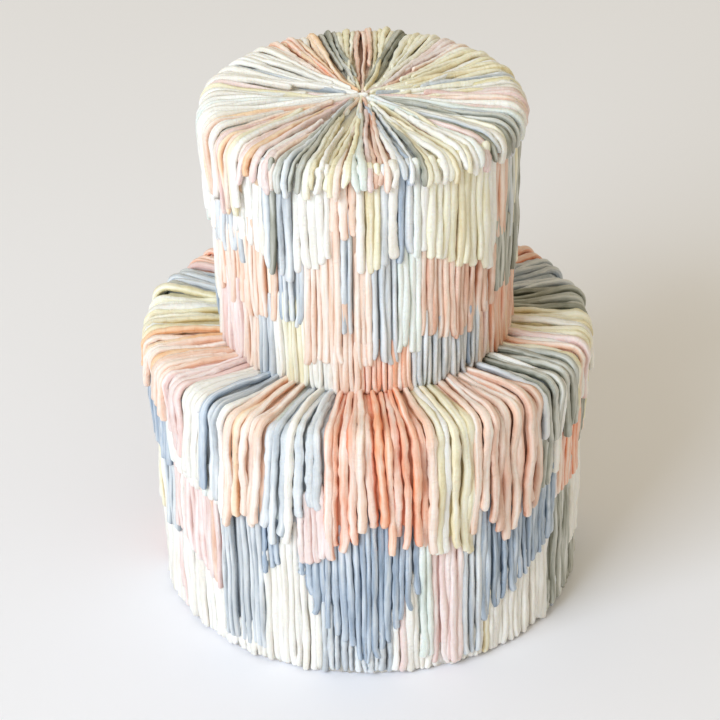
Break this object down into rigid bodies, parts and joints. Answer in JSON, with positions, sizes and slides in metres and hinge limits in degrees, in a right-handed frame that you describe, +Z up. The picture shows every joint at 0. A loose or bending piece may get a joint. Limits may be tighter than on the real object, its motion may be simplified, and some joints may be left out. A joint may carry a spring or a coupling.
{
  "type": "wedding cake",
  "caption": "Tall round tiered wedding cake, iced all over in fine piped buttercream strands that hang down its sides in overlapping ragged fringes of soft pastel colours.",
  "frame": {"origin": "middle of the lower tier's flat underside, on the surface it stands on", "axes": "+Z up, -Y towards the side that the picture shows, +X to its right"},
  "size_m": [0.237, 0.237, 0.28],
  "materials": {
    "lower_icing": "matt buttercream",
    "upper_icing": "matt buttercream"
  },
  "bodies": {
    "root": {"lower_tier": "lower_icing", "upper_tier": "upper_icing"}
  },
  "joints": []
}
